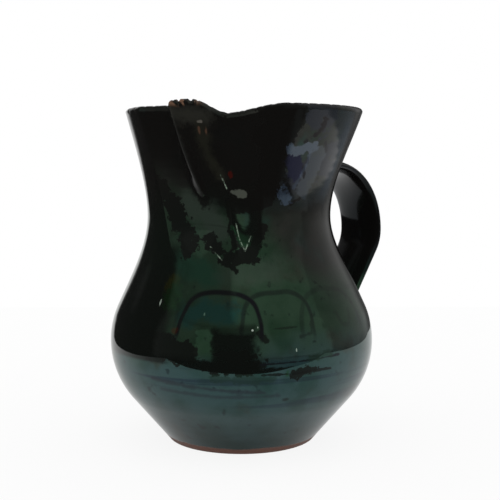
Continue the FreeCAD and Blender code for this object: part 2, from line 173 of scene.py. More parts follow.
def pinched_radius(angle, height):
    """Outer radius of the neck with the lip drawn out and the thumb presses beside it."""
    up = way_up(height)
    left_fold, right_fold = fold_lines(up)
    angle = (angle - LIP_CREST + 180) % 360 - 180 + LIP_CREST
    begin = ease(up / FOLD_START)
    fading = begin * np.maximum(1 - up, 0)
    thrown = thrown_radius(height)
    right = PRESS_DEPTH * up**PRESS_GROWTH + FOLD_DEPTH * fading
    left = LEFT_PRESS_DEPTH * up**LEFT_PRESS_GROWTH + LEFT_FOLD_DEPTH * fading
    right_angle = FOLD_ANGLE + (PRESS_ANGLE - FOLD_ANGLE) * up
    left_angle = FOLD_ANGLE + (LEFT_PRESS_ANGLE - FOLD_ANGLE) * up
    beside_right = thrown - right * (1 - ease((angle - right_fold) / right_angle))
    beside_left = thrown - left * (1 - ease((left_fold - angle) / left_angle))
    at_left, at_right = thrown - left, thrown - right
    from_left = np.sin(np.radians(np.clip(angle - left_fold, 0, right_fold - left_fold)))
    to_right = np.sin(np.radians(np.clip(right_fold - angle, 0, right_fold - left_fold)))
    width = np.sin(np.radians(right_fold - left_fold))
    flat = at_left * at_right * width / (at_left * from_left + at_right * to_right)
    flat = thrown + (flat - thrown) * begin
    radius = np.where(angle < left_fold, beside_left, flat)
    radius = np.where(angle > right_fold, beside_right, radius)
    grown = np.clip((up - LIP_START) / (1 - LIP_START), 0.0, None)
    spread = np.clip(grown, 0.0001, 1) ** LIP_SPREAD
    crest = LIP_CREST + (LIP_FOOT - LIP_CREST) * np.clip(1 - grown, 0, 1) ** CREST_TURN
    left_share = np.clip((crest - angle) / ((LIP_CREST - LIP_LEFT) * spread), 0, 1)
    right_share = np.clip((angle - crest) / ((right_fold - crest) * spread), 0, 1)
    return radius + LIP_REACH * grown * (1 - left_share - right_share**FLANK_ROUNDNESS)


def rim_line(angle):
    """Height of the top of the rim: raised at the lip, lower where the thumb pressed."""
    off = (angle + 180) % 360 - 180
    rise = LIP_RISE * np.maximum(1 - ((off - LIP_PEAK_ANGLE) / LIP_HALF_ANGLE) ** 2, 0)
    past_fold = 1 - ease((off - LIP_HALF_ANGLE) / NOTCH_ANGLE)
    drop = np.where(off > LIP_HALF_ANGLE, past_fold, ease(off / LIP_HALF_ANGLE))
    return RIM_HEIGHT + rise - NOTCH_DROP * drop


def rim_chips(angle):
    """Depth of the small chips along the top of the rim, most of them on the lip and the left."""
    turn = np.radians(angle)
    jags = np.sin(47 * turn + 1) + np.sin(83 * turn + 2.2) + np.sin(131 * turn)
    off = (angle + 180) % 360 - 180
    lip = ease((off + 20) / 8) * ease((8 - off) / 8)
    left = ease((-off - 35) / 15) * ease((off + 130) / 30)
    return CHIP_DEPTH * ease((jags - 0.2) / 1.4) * np.maximum(np.maximum(lip, left), 0.25)


def hand_dents(angle, height):
    """Depth of the throwing rings and the slight unevenness left by the potter's hands."""
    turn = np.radians(angle)
    slow = 1.1 + np.sin(2 * turn + 40 * height) * 0.6 + np.sin(3 * turn - 65 * height + 1.3) * 0.3
    slow = slow + np.sin(5 * turn + 30 * height + 0.4) * 0.1
    rings = 1 + np.sin(1150 * height + turn + 1.5 * np.sin(3 * turn + 90 * height))
    return DENT_DEPTH * slow + RING_DEPTH * rings


def place(radius, angle, height):
    """Point at this radius, angle and height from the middle of the neck at that height."""
    shift = np.where(
        height > JOINT_HEIGHT,
        along_neck(np.maximum(height, JOINT_HEIGHT), 0, 0, WAIST_SHIFT, RIM_SHIFT, 0),
        0.0,
    )
    turn = np.radians(angle)
    return np.stack(
        [
            radius * np.sin(turn) + shift * math.cos(SHIFT_TURN),
            -radius * np.cos(turn) + shift * math.sin(SHIFT_TURN),
            height + np.zeros_like(turn),
        ],
        axis=-1,
    )


def neck_outside(angle, height):
    """Point on the outside of the neck."""
    return place(pinched_radius(angle, height) - hand_dents(angle, height), angle, height)


def wall_vector(angle, height):
    """Level vector from the inside of the neck's wall to its outside."""
    around = neck_outside(angle + STEP_ANGLE, height) - neck_outside(angle - STEP_ANGLE, height)
    upward = neck_outside(angle, height + STEP) - neck_outside(angle, height - STEP)
    normal = np.cross(around, upward)
    normal /= np.linalg.norm(normal, axis=-1, keepdims=True)
    level = normal * (1, 1, 0)
    return level * WALL / np.sum(level**2, axis=-1, keepdims=True)


def arc_points(centre, radius, first, last, count):
    """(radius, height) points of an arc, from one angle to another."""
    turns = np.linspace(first, last, count)
    return [(centre[0] + radius * math.cos(t), centre[1] + radius * math.sin(t)) for t in turns]


# Half profile of the pot: the straight side touches the toe and the belly at the same angle
toe_centre = (FOOT_RADIUS, FOOT_ROUND)
across, above = BELLY_X - FOOT_RADIUS, BELLY_HEIGHT - FOOT_ROUND
closeness = (FOOT_ROUND - BELLY_CURVE) / math.hypot(across, above)
side_angle = math.atan2(above, across) - math.acos(closeness)
inner_curve = BELLY_CURVE - WALL
corner_height = FLOOR + FLOOR_CORNER
corner_offset = inner_curve - FLOOR_CORNER - (corner_height - BELLY_HEIGHT) * math.sin(side_angle)
corner_centre = (BELLY_X + corner_offset / math.cos(side_angle), corner_height)
belly_centre = (BELLY_X, BELLY_HEIGHT)


def between(first, last, count):
    """(radius, height) points from one to the other, both ends left out."""
    steps = np.linspace(0, 1, count + 2)[1:-1]
    run, rise = last[0] - first[0], last[1] - first[1]
    return [(first[0] + run * s, first[1] + rise * s) for s in steps]


toe = arc_points(toe_centre, FOOT_ROUND, -math.pi / 2, side_angle, 6)
belly = arc_points(belly_centre, BELLY_CURVE, side_angle, SHOULDER_LEAN, 46)
joint = (JOINT_RADIUS, JOINT_HEIGHT)
outer_profile = [(0.015, 0), (0.030, 0), (0.042, 0)]
outer_profile += toe + between(toe[-1], belly[0], 20) + belly + between(belly[-1], joint, 7)
inner_joint = (JOINT_RADIUS - WALL / math.cos(SHOULDER_LEAN), JOINT_HEIGHT)
inner_belly = arc_points(belly_centre, inner_curve, SHOULDER_LEAN, side_angle, 24)
inner_corner = arc_points(corner_centre, FLOOR_CORNER, side_angle, -math.pi / 2, 8)
inner_profile = between(inner_joint, inner_belly[0], 3) + inner_belly
inner_profile += between(inner_belly[-1], inner_corner[0], 8) + inner_corner
inner_profile += [(0.014, FLOOR), (0.007, FLOOR)]

# Columns of the mesh stand closest at the lip, and closer at the presses than round the back
lip_columns = np.arange(-22.0, 24.0, 0.4)
left_columns = np.arange(-50.0, -22.0, 0.75)
right_columns = np.arange(24.0, 60.0, 0.75)
back_columns = np.arange(60.0, 310.0, 1.5625)
angles = np.concatenate([left_columns, lip_columns, right_columns, back_columns])
neck_rows = 76
roll_steps = 9

rows = []
for radius, height in outer_profile:
    depth = hand_dents(angles, height) * min(height / 0.01, 1)
    rows.append(place(radius - depth, angles, np.full_like(angles, height)))
rim_top = rim_line(angles) - rim_chips(angles) - WALL / 2
for share in np.linspace(0, 1, neck_rows + 1):
    rows.append(neck_outside(angles, JOINT_HEIGHT + share * (rim_top - JOINT_HEIGHT)))
across_rim = wall_vector(angles, rim_top)
for roll in np.linspace(0, math.pi, roll_steps + 2)[1:-1]:
    row = neck_outside(angles, rim_top) + across_rim * (math.cos(roll) - 1) / 2
    row[:, 2] += math.sin(roll) * WALL / 2
    rows.append(row)
for share in np.linspace(1, 0, neck_rows // 2 + 1):
    height = JOINT_HEIGHT + share * (rim_top - JOINT_HEIGHT)
    rows.append(neck_outside(angles, height) - wall_vector(angles, height))
for radius, height in inner_profile:
    rows.append(place(np.full_like(angles, radius), angles, np.full_like(angles, height)))


def skin_mesh(name, rows, closed_ends):
    """Closed mesh over rows of points that run round it, with a point at the middle of each end."""
    count = len(rows[0])
    points = np.concatenate([[closed_ends[0]], *rows, [closed_ends[1]]])
    faces = []
    for row in range(len(rows) - 1):
        for column in range(count):
            first = 1 + row * count + column
            second = 1 + row * count + (column + 1) % count
            faces.append((first, second, second + count, first + count))
    last = len(points) - 1
    for column in range(count):
        following = (column + 1) % count
        faces.append((0, 1 + following, 1 + column))
        faces.append((last, last - count + column, last - count + following))
    mesh = bpy.data.meshes.new(name)
    mesh.from_pydata(points.tolist(), [], faces)
    mesh.update()
    mesh.shade_smooth()
    made = bpy.data.objects.new(name, mesh)
    scene.collection.objects.link(made)
    return made


jug = skin_mesh("jug_body", rows, [(0, 0, 0), (0, 0, FLOOR)])


# Handle: a flat strap pulled from a lump of the same clay, bent over in one bow and pressed on
# to the neck and the shoulder. Its ends are smeared out into the wall.
HANDLE_TURN = math.radians(69.5)
STRAP_WIDTH = 0.0365
STRAP_THICKNESS = 0.0092
BOW_CENTRE = 0.0774
BOW_HEIGHT = 0.1312
BOW_RADIUS = 0.0460
ELBOW_RADIUS = 0.0240
TAIL_LEAN = math.radians(36.0)
SMEAR = 0.0060
LEAST_SMEAR = 0.12
WALL_STEP = 0.0005


def wall_radius(height):
    """Outer radius of the thrown wall, above the straight foot of its side."""
    arch = BELLY_X + np.sqrt(np.maximum(BELLY_CURVE**2 - (height - BELLY_HEIGHT) ** 2, 0))
    shoulder = SHOULDER_TOP[0] - (height - SHOULDER_TOP[1]) * math.tan(SHOULDER_LEAN)
    lower = np.where(height > SHOULDER_TOP[1], shoulder, arch)
    return np.where(height > JOINT_HEIGHT, thrown_radius(height), lower)


def off_wall(points):
    """Distance of points from the outside of the wall, below 0 inside the clay."""
    height = points[..., 2]
    growth = wall_radius(height + WALL_STEP) - wall_radius(height - WALL_STEP)
    slope = growth / (2 * WALL_STEP)
    reach = np.hypot(points[..., 0], points[..., 1])
    return (reach - wall_radius(height)) / np.sqrt(1 + slope**2)


def strap_line(travel):
    """Centre of the strap and its outward direction, both as reach and height, at this length
    from the outermost point of the bow: below 0 on the bow, above 0 on the elbow and tail."""
    bow = travel / BOW_RADIUS
    bend = np.minimum(travel / ELBOW_RADIUS, TAIL_LEAN)
    run = np.maximum(travel - ELBOW_RADIUS * TAIL_LEAN, 0)
    elbow_centre = BOW_CENTRE + BOW_RADIUS - ELBOW_RADIUS
    on_bow = travel < 0
    reach = np.where(
        on_bow,
        BOW_CENTRE + BOW_RADIUS * np.cos(bow),
        elbow_centre + ELBOW_RADIUS * np.cos(bend) - run * math.sin(TAIL_LEAN),
    )
    height = BOW_HEIGHT + np.where(
        on_bow,
        -BOW_RADIUS * np.sin(bow),
        -ELBOW_RADIUS * np.sin(bend) - run * math.cos(TAIL_LEAN),
    )
    outward = np.where(on_bow, bow, bend)
    return reach, height, np.cos(outward), -np.sin(outward)


def strap_point(travel, turn):
    """Point on the strap's surface, at this length along it and turn round its oval section."""
    reach, height, outward, upward = strap_line(travel)
    side = np.cos(turn) * STRAP_WIDTH / 2
    out = np.sin(turn) * STRAP_THICKNESS / 2
    swell = np.stack([np.cos(turn) * STRAP_THICKNESS, np.sin(turn) * STRAP_WIDTH], axis=-1)
    swell /= np.linalg.norm(swell, axis=-1, keepdims=True)
    point = in_handle_plane(reach + out * outward, side, height + out * upward)
    gap = np.clip(off_wall(point), LEAST_SMEAR * SMEAR, SMEAR)
    push = SMEAR - np.sqrt(SMEAR**2 - (SMEAR - gap) ** 2)
    side = side + push * swell[..., 0]
    out = out + push * swell[..., 1]
    return in_handle_plane(reach + out * outward, side, height + out * upward)


def in_handle_plane(reach, side, height):
    """Point from its reach along the handle's plane, its distance beside that plane and height."""
    x = reach * math.cos(HANDLE_TURN) - side * math.sin(HANDLE_TURN)
    y = reach * math.sin(HANDLE_TURN) + side * math.cos(HANDLE_TURN)
    return np.stack([x, y, height + np.zeros_like(x)], axis=-1)


def strap_end(turn, clear, buried):
    """Length along the strap at which its surface reaches the middle of the wall."""
    clear, buried = np.full_like(turn, clear), np.full_like(turn, buried)
    for _ in range(40):
        middle = (clear + buried) / 2
        outside = off_wall(strap_point(middle, turn)) > -WALL / 2
        clear, buried = np.where(outside, middle, clear), np.where(outside, buried, middle)
    return clear


turns = np.linspace(0, 2 * math.pi, 49)[:-1]
upper_end = strap_end(turns, -0.070, -0.110)
lower_end = strap_end(turns, 0.030, 0.075)
strap_rows = []
for share in np.linspace(0, 1, 121):
    strap_rows.append(strap_point(upper_end + share * (lower_end - upper_end), turns))
ends = [strap_rows[0].mean(axis=0), strap_rows[-1].mean(axis=0)]
handle = skin_mesh("strap_handle", strap_rows, ends)

joined = jug.modifiers.new("handle", "BOOLEAN")
joined.operation = "UNION"
joined.solver = "EXACT"
joined.object = handle
bpy.context.view_layer.update()
whole = bpy.data.meshes.new_from_object(jug.evaluated_get(bpy.context.evaluated_depsgraph_get()))
jug.modifiers.clear()
jug.data = whole
jug.data.shade_smooth()
bpy.data.objects.remove(handle)
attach(jug, "root")
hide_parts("jug")


# Glaze: a glassy dark green lead glaze poured over the whole jug, brown and thin near the rim,
# bluer towards the foot, over a few brush-drawn arches in manganese on the shoulder.
GREEN = (0.38, 0.84, 0.48)
BLUE_GREEN = (0.45, 0.93, 0.96)
BROWN = (0.34, 0.36, 0.31)
SEA_GREEN = (0.26, 0.72, 0.62)
OLIVE = (0.40, 0.44, 0.30)
BLACK = (0.05, 0.06, 0.05)
PAINTED_DARK_BLACK = (0.05, 0.08, 0.06)
BLOT_GREY = (0.24, 0.28, 0.35)
BLOT_BLACK = (0.10, 0.10, 0.12)
ICE_BLUE = (0.74, 0.88, 1.0)
NAVY = (0.12, 0.14, 0.34)
LEAF_GREEN = (0.16, 0.66, 0.28)
DUSK_BLUE = (0.22, 0.22, 0.34)
MANGANESE = (0.06, 0.05, 0.09)
BODY_GREEN = (0.0043, 0.0052, 0.0044)
BODY_BROWN = (0.0052, 0.0048, 0.0044)
CLAY = (0.15, 0.065, 0.045)
RUST = (0.13, 0.065, 0.036)


def add(tree, kind, inputs=None, **settings):
    """Add one shader node with its options, and feed or set its inputs."""
    made = tree.nodes.new(kind)
    for name, value in settings.items():
        setattr(made, name, value)
    for name, value in (inputs or {}).items():
        if isinstance(value, bpy.types.NodeSocket):
            tree.links.new(value, made.inputs[name])
        else:
            made.inputs[name].default_value = value
    return made


def reckon(tree, operation, *values, clamp=False):
    """One step of arithmetic on shader numbers."""
    inputs = dict(enumerate(values))
    return add(tree, "ShaderNodeMath", inputs, operation=operation, use_clamp=clamp).outputs[0]


def times(tree, first, *others):
    """The product of shader numbers, such as a share of a share."""
    for other in others:
        first = reckon(tree, "MULTIPLY", first, other)
    return first


def most(tree, first, *others):
    """The largest of shader numbers, such as the stronger of two marks."""
    for other in others:
        first = reckon(tree, "MAXIMUM", first, other)
    return first


def fade(tree, value, first, last):
    """A smooth change from 0 where the value is first to 1 where it is last."""
    inputs = {"Value": value, "From Min": first, "From Max": last}
    made = add(tree, "ShaderNodeMapRange", inputs, interpolation_type="SMOOTHSTEP")
    return made.outputs[0]


def blend_colours(tree, share, first, second):
    """A colour between two others."""
    first, second = [(*c, 1) if isinstance(c, tuple) else c for c in (first, second)]
    made = add(tree, "ShaderNodeMix", {0: share, 6: first, 7: second}, data_type="RGBA")
    return made.outputs[2]


def mottle(tree, point, scale, detail=3.0, rough=0.5):
    """Cloudy noise at this many clouds a metre, from 0 to 1."""
    inputs = {"Vector": point, "Scale": scale, "Detail": detail, "Roughness": rough}
    return add(tree, "ShaderNodeTexNoise", inputs).outputs[0]


def swing(tree, point, scale, detail, rough=0.5):
    """Cloudy noise that swings below and above 0."""
    return reckon(tree, "SUBTRACT", mottle(tree, point, scale, detail, rough), 0.5)


def darken(share, colour, factor):
    """A colour multiplied by a factor where share is 1."""
    product = add(tree, "ShaderNodeVectorMath", {0: colour, 1: factor}, operation="MULTIPLY")
    return blend_colours(tree, share, colour, product.outputs[0])


glaze = bpy.data.materials.new("glazed_clay")
glaze.use_nodes = True
tree = glaze.node_tree
shader = tree.nodes["Principled BSDF"]
where = add(tree, "ShaderNodeTexCoord").outputs["Object"]
split = add(tree, "ShaderNodeSeparateXYZ", {0: where})
height = split.outputs[2]
behind = times(tree, split.outputs[1], -1.0)
angle = times(tree, reckon(tree, "ARCTAN2", split.outputs[0], behind), 180 / math.pi)

# From the foot up the glaze goes from blue-green to green and, where it ran thin, to brown. Clouds
# move these borders by up to 30 mm either way, and shift the green to sea green and to olive
clouds = mottle(tree, where, 18.0, 5.0)
cloudy_height = reckon(tree, "MULTIPLY_ADD", clouds, 0.06, reckon(tree, "SUBTRACT", height, 0.03))
brown_height = reckon(tree, "MULTIPLY_ADD", fade(tree, angle, 20.0, 75.0), 0.050, cloudy_height)
thin_glaze = fade(tree, brown_height, 0.135, 0.175)
tone = blend_colours(tree, thin_glaze, GREEN, BROWN)
tone = blend_colours(tree, fade(tree, cloudy_height, 0.080, 0.055), tone, BLUE_GREEN)
body = blend_colours(tree, thin_glaze, BODY_GREEN, BODY_BROWN)
hue = mottle(tree, where, 34.0, 5.0)
tone = blend_colours(tree, times(tree, fade(tree, hue, 0.56, 0.74), 0.7), tone, SEA_GREEN)
tone = blend_colours(tree, times(tree, fade(tree, hue, 0.44, 0.30), 0.7), tone, OLIVE)

# On the left of the jug, above about 61 mm, the glaze's tint is almost black: a painted dark
# reflection of the room
painted_dark_left = times(
    tree,
    fade(tree, reckon(tree, "MULTIPLY_ADD", clouds, 20.0, angle), 7.0, 0.0),
    fade(tree, cloudy_height, 0.130, 0.112),
    fade(tree, height, 0.0605, 0.0630),
    fade(tree, angle, -56.0, -40.0),
)
tone = blend_colours(tree, times(tree, painted_dark_left, 0.95), tone, PAINTED_DARK_BLACK)

# Finer clouds, level streaks from the turning brush and the potter's fingers, and specks
fine = mottle(tree, where, 55.0, 4.0)
tone = darken(fade(tree, fine, 0.42, 0.70), tone, (0.55, 0.70, 0.62))
level = add(tree, "ShaderNodeVectorMath", {0: where, 1: (7.0, 7.0, 230.0)}, operation="MULTIPLY")
streaks = mottle(tree, level.outputs[0], 1.0, 4.0)
band = times(tree, fade(tree, height, 0.074, 0.060), fade(tree, height, 0.028, 0.042))
streaked = times(tree, fade(tree, streaks, 0.50, 0.60), band, 0.9)
tone = darken(streaked, tone, (0.55, 0.52, 0.68))
specks = fade(tree, mottle(tree, where, 150.0, 3.0), 0.64, 0.72)
tone = darken(times(tree, specks, 0.8), tone, (0.35, 0.35, 0.40))

# High on the right the glaze is cloudy, grey with brown-black blots
high_right = times(tree, fade(tree, angle, 40.0, 50.0), fade(tree, height, 0.150, 0.168))
blots = mottle(tree, where, 38.0, 8.0, 0.62)
tone = blend_colours(tree, times(tree, fade(tree, blots, 0.50, 0.53), high_right), tone, BLOT_GREY)
blotted = times(tree, fade(tree, blots, 0.40, 0.37), high_right, 0.85)
tone = blend_colours(tree, blotted, tone, BLOT_BLACK)

# Edges of the runs of glaze and of the painted reflections are ragged: wide bays with small torn
# bits along them. A degree is 1.05 mm of wall at the waist
WAIST_DEGREE = 0.00105
RAGGED_SHARE = 4.5
RAGGED_MOST = 0.016
bays = swing(tree, where, 110.0, 7.0, 0.66)
ragged = reckon(tree, "MULTIPLY_ADD", swing(tree, where, 380.0, 4.0, 0.6), 0.45, bays)


def streak(places, width, soft):
    """A ragged mark, this wide to either side of places given by angle and height, used for runs of
    glaze, painted reflections and painted glints.
    """
    nearest = None
    for (first, low), (last, high) in zip(places, places[1:]):
        run, rise = (last - first) * WAIST_DEGREE, high - low
        over = times(tree, reckon(tree, "SUBTRACT", angle, first), WAIST_DEGREE)
        up = reckon(tree, "SUBTRACT", height, low)
        length_squared = run * run + rise * rise
        along = times(tree, over, run / length_squared)
        along = reckon(tree, "MULTIPLY_ADD", up, rise / length_squared, along, clamp=True)
        over = reckon(tree, "MULTIPLY_ADD", along, -run, over)
        up = reckon(tree, "MULTIPLY_ADD", along, -rise, up)
        off = reckon(tree, "SQRT", reckon(tree, "MULTIPLY_ADD", up, up, times(tree, over, over)))
        nearest = off if nearest is None else reckon(tree, "MINIMUM", nearest, off)
    uneven = min(width * RAGGED_SHARE, RAGGED_MOST)
    nearest = reckon(tree, "MULTIPLY_ADD", ragged, uneven, nearest)
    return fade(tree, nearest, width + soft, width - soft)


# Runs of one colour in the glaze's tint, each with its strength, half width, softness and places:
# thick and thin glaze, and painted reflections of the room
for colour, strength, width, soft, places in (
    # painted reflections, pale and green, between the folds and below them
    ((0.68, 1.0, 0.76), 0.9, 0.0085, 0.0050, [(-10, 0.154), (4, 0.147), (9, 0.140)]),
    ((0.14, 0.88, 0.52), 0.7, 0.0060, 0.0040, [(-10, 0.122), (0, 0.116), (10, 0.112)]),
    ((0.64, 0.96, 0.70), 0.6, 0.0070, 0.0060, [(20, 0.1140), (40, 0.1160)]),
    ((0.12, 0.84, 0.74), 0.8, 0.0055, 0.0040, [(2, 0.091), (8, 0.0945), (18, 0.092)]),
    # painted dark reflection in black high on the right, with ice-blue and a few dark specks
    (BLACK, 1.0, 0.0090, 0.0006, [(40, 0.212), (47, 0.205), (44, 0.194)]),
    (BLACK, 1.0, 0.0076, 0.0006, [(38, 0.194), (45, 0.184), (42, 0.170), (38, 0.158)]),
    (NAVY, 1.0, 0.0052, 0.0008, [(53, 0.180), (57, 0.173)]),
    (ICE_BLUE, 1.0, 0.0027, 0.0003, [(50, 0.187), (57, 0.1865), (64, 0.189)]),
    (ICE_BLUE, 0.55, 0.0064, 0.0005, [(68, 0.182), (66, 0.173), (63, 0.164)]),
    (ICE_BLUE, 1.0, 0.0044, 0.0003, [(48, 0.1610), (52, 0.1575)]),
    ((0.07, 0.05, 0.06), 0.9, 0.0020, 0.0004, [(67, 0.2035), (66, 0.199), (63, 0.195)]),
    ((0.07, 0.07, 0.09), 0.9, 0.0012, 0.0004, [(60, 0.1765), (62, 0.1700)]),
    ((0.07, 0.07, 0.09), 0.8, 0.0008, 0.0004, [(71, 0.191), (74, 0.186)]),
    ((0.07, 0.05, 0.04), 0.9, 0.0015, 0.0004, [(55, 0.1545), (61, 0.1575)]),
    # painted dark reflection in black along the folds, with green at its edges
    (BLACK, 1.0, 0.0052, 0.0005, [(-40, 0.174), (-26, 0.159), (-16, 0.1435), (-6, 0.1275)]),
    (BLACK, 1.0, 0.0060, 0.0006, [(20, 0.1545), (35, 0.1545)]),
    (BLACK, 1.0, 0.0026, 0.0005, [(17, 0.150), (19, 0.143), (22, 0.130)]),
    (BLACK, 1.0, 0.0034, 0.0005, [(5, 0.1345), (9, 0.1310), (14, 0.1260)]),
    (BLACK, 1.0, 0.0050, 0.0005, [(17, 0.1235), (31, 0.1245)]),
    (BLACK, 1.0, 0.0036, 0.0005, [(32, 0.1265), (33, 0.1340), (37, 0.1400)]),
    (BLACK, 1.0, 0.0013, 0.0005, [(18.5, 0.1200), (22.5, 0.1155)]),
    (LEAF_GREEN, 0.9, 0.0034, 0.0008, [(23, 0.1400), (26.5, 0.1330)]),
    (LEAF_GREEN, 0.8, 0.0026, 0.0008, [(-28, 0.1310), (-23, 0.1290)]),
    # painted dark reflection in black along the widest part of the belly, with thin level lines
    (BLACK, 0.97, 0.0035, 0.0005, [(17, 0.0690), (28, 0.0690)]),
    (BLACK, 0.97, 0.0040, 0.0005, [(14, 0.0620), (30, 0.0625)]),
    (BLACK, 0.97, 0.0072, 0.0006, [(-20, 0.0740), (0, 0.0705)]),
    (BLACK, 0.9, 0.0013, 0.0005, [(32.0, 0.0815), (34.5, 0.0775)]),
    (BLACK, 0.95, 0.0032, 0.0004, [(46, 0.0575), (52, 0.0580)]),
    (LEAF_GREEN, 0.9, 0.0012, 0.0005, [(43.0, 0.0562), (43.5, 0.0590)]),
    ((0.06, 0.06, 0.12), 0.9, 0.0005, 0.0003, [(32.5, 0.0635), (48.5, 0.0642), (67.5, 0.0655)]),
    ((0.04, 0.05, 0.05), 0.9, 0.0007, 0.0003, [(33, 0.0572), (49, 0.0572), (63, 0.0580)]),
    ((0.14, 0.36, 0.26), 0.6, 0.0022, 0.0010, [(14, 0.0545), (25, 0.0540), (36, 0.0548)]),
    ((0.14, 0.42, 0.26), 0.7, 0.0020, 0.0008, [(54, 0.0655), (62, 0.0672)]),
    (DUSK_BLUE, 0.6, 0.0011, 0.0010, [(-14, 0.0515), (15, 0.0480), (34, 0.0462)]),
    (DUSK_BLUE, 0.5, 0.0010, 0.0010, [(-10, 0.0455), (16, 0.0435), (40, 0.0440)]),
    ((0.06, 0.08, 0.07), 0.6, 0.0004, 0.0003, [(38, 0.0835), (41, 0.0836), (48, 0.0840)]),
    ((0.16, 0.26, 0.26), 0.8, 0.0009, 0.0005, [(43.5, 0.0410), (44.5, 0.0408)]),
):
    mask = streak(places, width, soft)
    tone = blend_colours(tree, times(tree, mask, strength), tone, colour)

# The blue patches are milky under the surface
milky = most(
    tree,
    streak([(50, 0.187), (57, 0.1865), (64, 0.189)], 0.0025, 0.0004),
    streak([(48, 0.1610), (52, 0.1575)], 0.0042, 0.0004),
    streak([(62, 0.1840), (62, 0.1790), (59, 0.1700), (56, 0.1640)], 0.0012, 0.0006),
)
body = blend_colours(tree, milky, body, (0.013, 0.018, 0.027))

# The crest of the lip is painted black, a painted dark reflection, its face dusty and worn thin
# towards the right fold. Thin broken lines of painted highlight follow the folds, with a
# cream-coloured painted highlight beside them
crest = streak([(-12, 0.212), (-11, 0.196), (-9, 0.180), (-6, 0.170), (-1, 0.157)], 0.0052, 0.0018)
tone = blend_colours(tree, crest, tone, BLACK)
dust = streak([(-6.0, 0.2080), (5.0, 0.2050)], 0.0045, 0.0040)
body = blend_colours(tree, dust, body, (0.017, 0.017, 0.014))
thin_edge = streak([(4.0, 0.200), (5.0, 0.184), (12.0, 0.171)], 0.0028, 0.0030)
body = blend_colours(tree, thin_edge, body, (0.011, 0.011, 0.008))
valley = [(21.5, 0.1430), (23.5, 0.1345), (27.0, 0.1268), (28.5, 0.1310), (30.5, 0.1355)]
painted_glints = most(
    tree,
    streak(valley, 0.00030, 0.00020),
    streak([(7.0, 0.1290), (12.0, 0.1245), (16.0, 0.1205)], 0.00030, 0.00020),
    streak([(12.3, 0.1715), (16.0, 0.1635)], 0.00035, 0.00025),
)
broken = fade(tree, mottle(tree, where, 520.0, 3.0), 0.40, 0.60)
body = blend_colours(tree, times(tree, painted_glints, broken), body, (0.17, 0.22, 0.17))
painted_cream_highlight = streak([(20.0, 0.1615), (26.0, 0.1605)], 0.0017, 0.0004)
body = blend_colours(tree, painted_cream_highlight, body, (0.050, 0.055, 0.045))

# Small scars and spots, each with its angle, height, half width, half height, softness and colour:
# a red speck and brown scars in the glaze of the lip, and on the belly, where a degree is 1.25 mm
# of wall, pale spots of painted highlight and small orange-brown and green spots
BELLY_DEGREE = 0.00125
GRAIN = 4.0
grain = swing(tree, where, 420.0, 4.0)
for spot_angle, spot_height, wide, high, soft, colour in (
    # a red speck, and pale and brown scars, in the glaze of the lip
    (18.5, 0.1720, 0.0017, 0.0021, 0.6, (0.030, 0.004, 0.003)),
    (3.8, 0.2030, 0.0014, 0.0010, 0.3, (0.075, 0.070, 0.060)),
    (3.0, 0.1980, 0.0008, 0.0026, 0.3, (0.050, 0.028, 0.018)),
    (6.2, 0.1975, 0.0007, 0.0026, 0.3, (0.050, 0.028, 0.018)),
    # pale spots of painted highlight
    (-14.2, 0.0960, 0.0005, 0.0018, 0.3, (0.22, 0.26, 0.22)),
    (29.4, 0.0830, 0.0005, 0.0006, 0.3, (0.32, 0.36, 0.32)),
    (31.5, 0.0845, 0.0004, 0.0006, 0.3, (0.20, 0.24, 0.20)),
    (47.0, 0.0707, 0.0003, 0.0011, 0.3, (0.22, 0.26, 0.22)),
    (9.1, 0.0913, 0.0004, 0.0009, 0.3, (0.05, 0.08, 0.06)),
    # small orange-brown and green spots
    (-3.3, 0.0815, 0.0018, 0.0020, 0.9, (0.016, 0.005, 0.002)),
    (-10.1, 0.1068, 0.0050, 0.0055, 0.9, (0.010, 0.010, 0.003)),
    (-8.0, 0.1000, 0.0060, 0.0080, 0.9, (0.004, 0.010, 0.004)),
):
    off_side = times(tree, reckon(tree, "SUBTRACT", angle, spot_angle), BELLY_DEGREE / wide)
    off_height = reckon(tree, "DIVIDE", reckon(tree, "SUBTRACT", height, spot_height), high)
    square = times(tree, off_side, off_side)
    off = reckon(tree, "MULTIPLY_ADD", off_height, off_height, square)
    scar_and_highlight = fade(tree, reckon(tree, "MULTIPLY_ADD", grain, GRAIN, off), 1.0 + soft, 1.0 - soft)
    body = blend_colours(tree, scar_and_highlight, body, colour)

